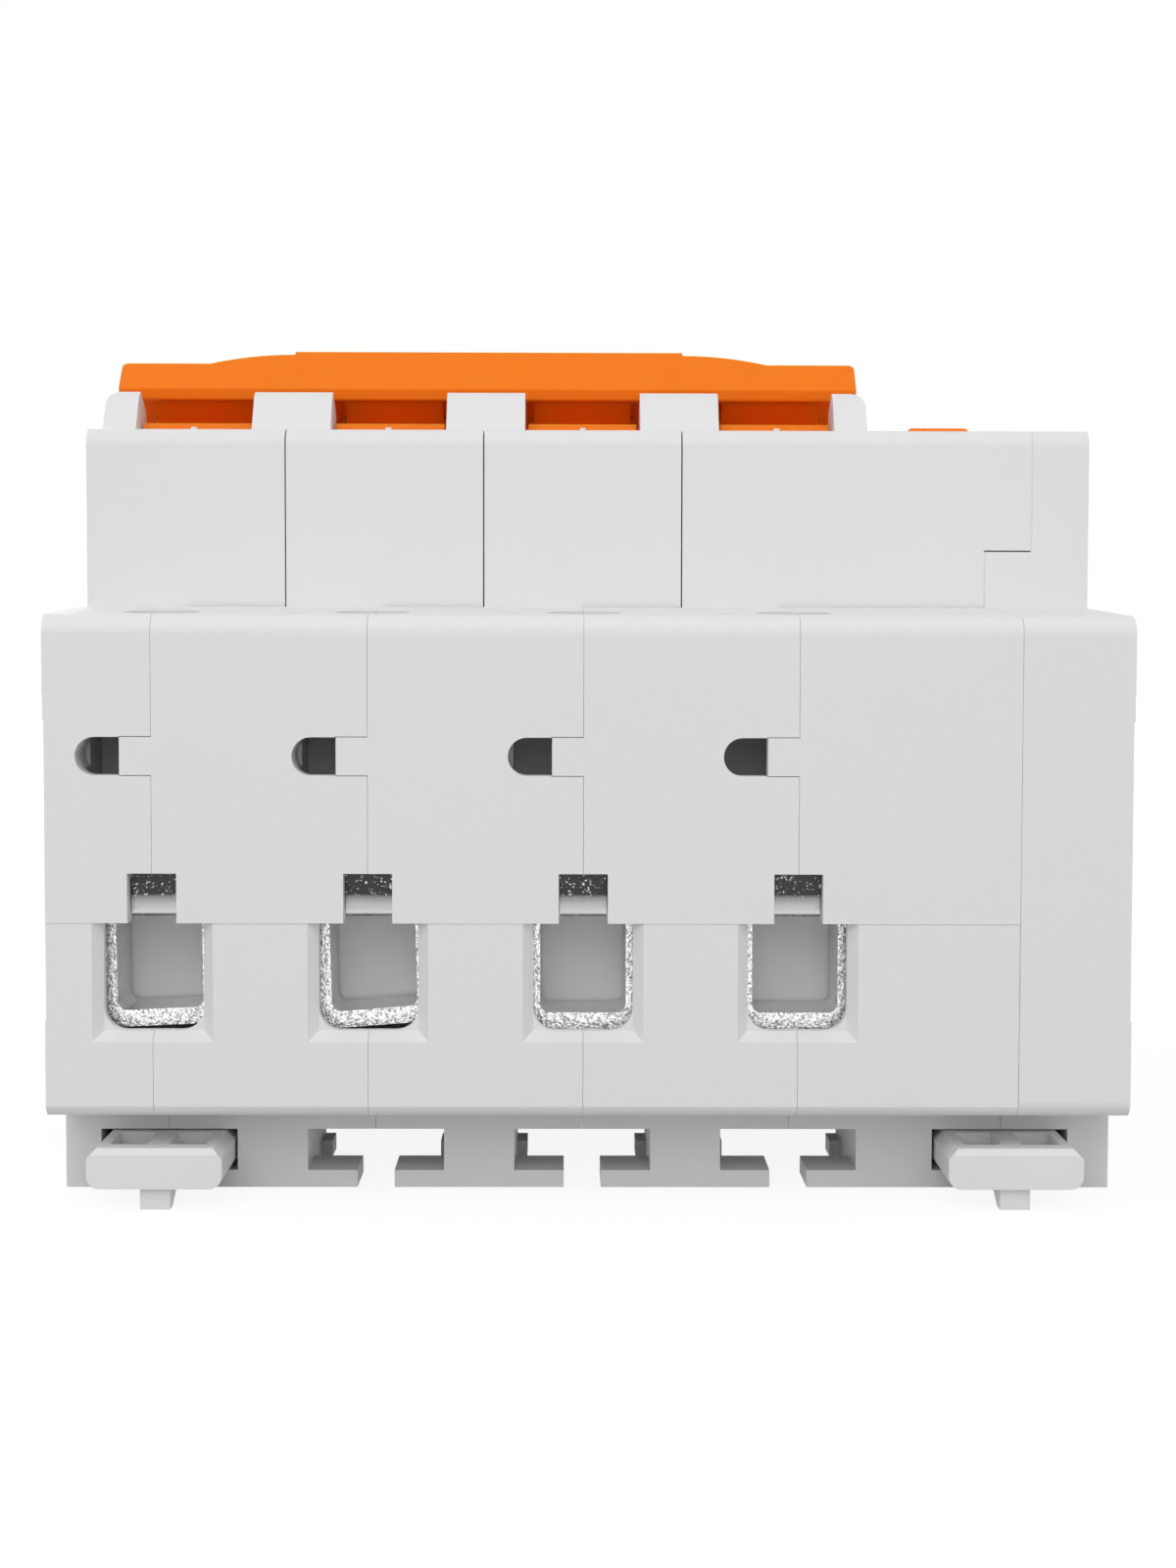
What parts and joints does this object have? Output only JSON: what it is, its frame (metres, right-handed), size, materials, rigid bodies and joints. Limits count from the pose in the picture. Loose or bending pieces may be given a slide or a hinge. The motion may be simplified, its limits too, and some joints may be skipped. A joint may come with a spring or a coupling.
{
  "type": "residual current circuit breaker",
  "caption": "Rail-mounted residual current breaker in pale grey with an orange handle bar, open cage terminals on both sides and rail clips.",
  "frame": {"origin": "middle of the face that seats on the rail", "axes": "+X along the rail, +Y to the incoming side, +Z away from the rail"},
  "size_m": [0.09, 0.085, 0.0746],
  "materials": {
    "housing_plastic": "fine matte",
    "clip_plastic": "fine matte",
    "handle_plastic": "satin",
    "button_plastic": "satin",
    "plated_steel": "bright zinc plate",
    "plated_copper": "tin plate",
    "steel": "satin",
    "copper": "satin",
    "bimetal": "satin",
    "dark_plastic": "matte",
    "coil_casing": "matte",
    "board": "satin"
  },
  "bodies": {
    "housing": {"shell_1": "housing_plastic", "shell_2": "housing_plastic", "shell_3": "housing_plastic", "shell_4": "housing_plastic", "shell_5": "housing_plastic", "end_cover": "housing_plastic", "housing_rivets": "steel", "toggle_axle": "steel", "test_contact": "copper", "clamping_plates_load": "plated_copper", "clamping_plates_line": "plated_copper", "fixed_contacts": "copper", "bimetal_strips": "bimetal", "summation_transformer": "coil_casing", "trip_relay": "dark_plastic", "circuit_board": "board", "magnet_coil_1": "copper", "magnet_coil_2": "copper", "magnet_coil_3": "copper", "magnet_coil_4": "copper", "arc_chute_1": "steel", "arc_chute_2": "steel", "arc_chute_3": "steel", "arc_chute_4": "steel"},
    "handle": {"handle_bar": "handle_plastic", "toggle_1": "handle_plastic", "toggle_2": "handle_plastic", "toggle_3": "handle_plastic", "toggle_4": "handle_plastic"},
    "contacts": {"contact_shaft": "dark_plastic", "contact_arm_1": "copper", "contact_arm_2": "copper", "contact_arm_3": "copper", "contact_arm_4": "copper"},
    "test_button": {"test_button": "button_plastic", "test_spring": "steel"},
    "clip_left": {"rail_clip_left": "clip_plastic"},
    "clip_right": {"rail_clip_right": "clip_plastic"},
    "screw_load_1": {"screw_load_1": "plated_steel"},
    "cage_load_1": {"cage_load_1": "plated_steel"},
    "screw_load_2": {"screw_load_2": "plated_steel"},
    "cage_load_2": {"cage_load_2": "plated_steel"},
    "screw_load_3": {"screw_load_3": "plated_steel"},
    "cage_load_3": {"cage_load_3": "plated_steel"},
    "screw_load_4": {"screw_load_4": "plated_steel"},
    "cage_load_4": {"cage_load_4": "plated_steel"},
    "screw_line_1": {"screw_line_1": "plated_steel"},
    "cage_line_1": {"cage_line_1": "plated_steel"},
    "screw_line_2": {"screw_line_2": "plated_steel"},
    "cage_line_2": {"cage_line_2": "plated_steel"},
    "screw_line_3": {"screw_line_3": "plated_steel"},
    "cage_line_3": {"cage_line_3": "plated_steel"},
    "screw_line_4": {"screw_line_4": "plated_steel"},
    "cage_line_4": {"cage_line_4": "plated_steel"}
  },
  "joints": [
    {"name": "handle_turn", "type": "hinge", "parent": "housing", "child": "handle", "pos_m": [0, 0, 0.0556], "axis": [-1, 0, 0], "range_deg": [0, 88.5]},
    {"name": "contacts_turn", "type": "hinge", "parent": "housing", "child": "contacts", "pos_m": [0, -0.004, 0.0355], "axis": [1, 0, 0], "range_deg": [0, 20.3]},
    {"name": "button_press", "type": "slide", "parent": "housing", "child": "test_button", "axis": [0, 0, -1], "range_m": [0, 0.001], "stiffness_N_per_m": 200, "deforming": ["test_spring"]},
    {"name": "clip_left_slide", "type": "slide", "parent": "housing", "child": "clip_left", "axis": [0, -1, 0], "range_m": [0, 0.004]},
    {"name": "clip_right_slide", "type": "slide", "parent": "housing", "child": "clip_right", "axis": [0, -1, 0], "range_m": [0, 0.004]},
    {"name": "screw_load_1_turn", "type": "hinge", "parent": "housing", "child": "screw_load_1", "pos_m": [-0.0361, -0.036, 0.03], "axis": [0, 0, -1], "range_deg": [0, 3241]},
    {"name": "cage_load_1_slide", "type": "slide", "parent": "housing", "child": "cage_load_1", "axis": [0, 0, 1], "range_m": [0, 0.0072]},
    {"name": "screw_load_2_turn", "type": "hinge", "parent": "housing", "child": "screw_load_2", "pos_m": [-0.0183, -0.036, 0.03], "axis": [0, 0, -1], "range_deg": [0, 3241]},
    {"name": "cage_load_2_slide", "type": "slide", "parent": "housing", "child": "cage_load_2", "axis": [0, 0, 1], "range_m": [0, 0.0072]},
    {"name": "screw_load_3_turn", "type": "hinge", "parent": "housing", "child": "screw_load_3", "pos_m": [-0.0005, -0.036, 0.03], "axis": [0, 0, -1], "range_deg": [0, 3241]},
    {"name": "cage_load_3_slide", "type": "slide", "parent": "housing", "child": "cage_load_3", "axis": [0, 0, 1], "range_m": [0, 0.0072]},
    {"name": "screw_load_4_turn", "type": "hinge", "parent": "housing", "child": "screw_load_4", "pos_m": [0.0173, -0.036, 0.03], "axis": [0, 0, -1], "range_deg": [0, 3241]},
    {"name": "cage_load_4_slide", "type": "slide", "parent": "housing", "child": "cage_load_4", "axis": [0, 0, 1], "range_m": [0, 0.0072]},
    {"name": "screw_line_1_turn", "type": "hinge", "parent": "housing", "child": "screw_line_1", "pos_m": [-0.0361, 0.036, 0.03], "axis": [0, 0, -1], "range_deg": [0, 3241]},
    {"name": "cage_line_1_slide", "type": "slide", "parent": "housing", "child": "cage_line_1", "axis": [0, 0, 1], "range_m": [0, 0.0072]},
    {"name": "screw_line_2_turn", "type": "hinge", "parent": "housing", "child": "screw_line_2", "pos_m": [-0.0183, 0.036, 0.03], "axis": [0, 0, -1], "range_deg": [0, 3241]},
    {"name": "cage_line_2_slide", "type": "slide", "parent": "housing", "child": "cage_line_2", "axis": [0, 0, 1], "range_m": [0, 0.0072]},
    {"name": "screw_line_3_turn", "type": "hinge", "parent": "housing", "child": "screw_line_3", "pos_m": [-0.0005, 0.036, 0.03], "axis": [0, 0, -1], "range_deg": [0, 3241]},
    {"name": "cage_line_3_slide", "type": "slide", "parent": "housing", "child": "cage_line_3", "axis": [0, 0, 1], "range_m": [0, 0.0072]},
    {"name": "screw_line_4_turn", "type": "hinge", "parent": "housing", "child": "screw_line_4", "pos_m": [0.0173, 0.036, 0.03], "axis": [0, 0, -1], "range_deg": [0, 3241]},
    {"name": "cage_line_4_slide", "type": "slide", "parent": "housing", "child": "cage_line_4", "axis": [0, 0, 1], "range_m": [0, 0.0072]}
  ],
  "couplings": [
    {"joint": "contacts_turn", "follows": "handle_turn", "ratio": 0.2285},
    {"joint": "screw_load_1_turn", "follows": "cage_load_1_slide", "rad_per_m": 7854},
    {"joint": "screw_load_2_turn", "follows": "cage_load_2_slide", "rad_per_m": 7854},
    {"joint": "screw_load_3_turn", "follows": "cage_load_3_slide", "rad_per_m": 7854},
    {"joint": "screw_load_4_turn", "follows": "cage_load_4_slide", "rad_per_m": 7854},
    {"joint": "screw_line_1_turn", "follows": "cage_line_1_slide", "rad_per_m": 7854},
    {"joint": "screw_line_2_turn", "follows": "cage_line_2_slide", "rad_per_m": 7854},
    {"joint": "screw_line_3_turn", "follows": "cage_line_3_slide", "rad_per_m": 7854},
    {"joint": "screw_line_4_turn", "follows": "cage_line_4_slide", "rad_per_m": 7854}
  ]
}
